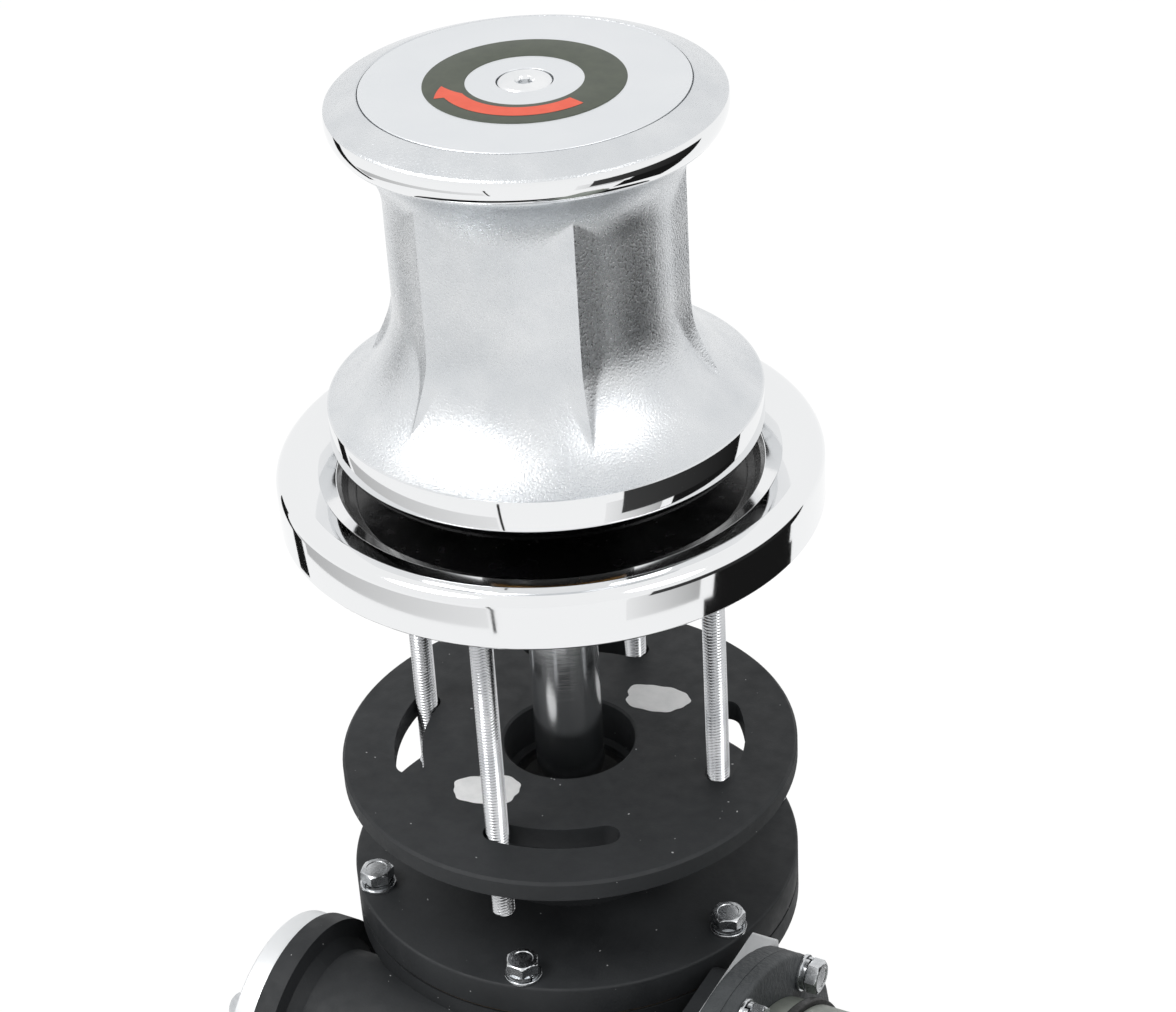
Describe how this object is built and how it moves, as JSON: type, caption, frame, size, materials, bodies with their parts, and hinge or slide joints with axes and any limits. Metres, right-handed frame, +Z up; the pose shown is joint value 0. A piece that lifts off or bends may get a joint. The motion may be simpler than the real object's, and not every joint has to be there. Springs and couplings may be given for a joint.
{
  "type": "deck capstan",
  "caption": "Vertical deck capstan: a ribbed chromed drum on a flanged deck plate, driven from below by a worm gearbox with an electric motor.",
  "frame": {"origin": "centre of the deck plate's underside, where it stands on the deck", "axes": "+Z up along the drum's shaft, +X along the worm and motor axis towards the motor"},
  "size_m": [0.4372, 0.302, 0.5242],
  "materials": {
    "aluminium": "machined",
    "black_paint": "matte",
    "bronze": "machined",
    "carbon": "matte",
    "chrome": "polished",
    "copper": "turned",
    "gasket": "matte",
    "insulator": "gloss",
    "label": "matte printed foil",
    "magnet": "matte",
    "passivated": "matte grey-green",
    "rough_black": "as cast, painted",
    "rubber": "matte",
    "satin_cap": "fine satin",
    "stainless": "bright",
    "steel": "ground",
    "zinc": "zinc plated"
  },
  "bodies": {
    "base": {"adapter_bolts": "zinc", "adapter_flat_washers": "zinc", "adapter_spring_washers": "zinc", "brush_holders": "bronze", "carbon_brushes": "carbon", "cover_bolts": "zinc", "cover_flat_washers": "zinc", "cover_gasket": "gasket", "cover_spring_washers": "zinc", "deck_bush": "bronze", "deck_plate": "chrome", "deck_seal": "rubber", "deck_studs": "stainless", "end_cover": "aluminium", "end_cover_bolts": "zinc", "end_cover_washers": "zinc", "field_magnets": "magnet", "flange_seal": "rubber", "front_bearing": "bronze", "gearbox_cover": "black_paint", "gearbox_housing": "black_paint", "motor_adapter": "rough_black", "motor_band": "rubber", "motor_can": "passivated", "motor_flange": "rough_black", "motor_front_bell": "passivated", "motor_plate": "aluminium", "motor_rear_bell": "passivated", "mounting_flange": "black_paint", "neck_screws": "steel", "plate_screws": "steel", "rear_bearing": "bronze", "shaft_bearing_outer": "steel", "terminal_insulators": "insulator", "terminal_nuts": "zinc", "terminal_studs": "bronze", "thrust_washer": "bronze", "worm_bearing_outer": "steel", "worm_seal": "rubber"},
    "output": {"drum": "chrome", "drum_cap": "satin_cap", "cap_label": "label", "cap_screw": "stainless", "drum_key": "steel", "main_shaft": "stainless", "shaft_circlip": "steel", "worm_wheel": "bronze", "wheel_hub": "steel", "wheel_screws": "steel", "wheel_spacer": "steel", "wheel_key": "steel", "shaft_bearing_inner": "steel"},
    "worm": {"worm_shaft": "steel", "worm_bearing_inner": "steel", "shaft_coupling": "steel", "motor_shaft": "steel", "armature": "magnet", "commutator": "copper"}
  },
  "joints": [
    {"name": "drum_spin", "type": "hinge", "parent": "base", "child": "output", "pos_m": [0, 0, 0], "axis": [0, 0, 1], "continuous": true},
    {"name": "worm_spin", "type": "hinge", "parent": "base", "child": "worm", "pos_m": [0, -0.097, -0.246], "axis": [1, 0, 0], "continuous": true}
  ],
  "couplings": [
    {"joint": "worm_spin", "follows": "drum_spin", "ratio": -36}
  ]
}
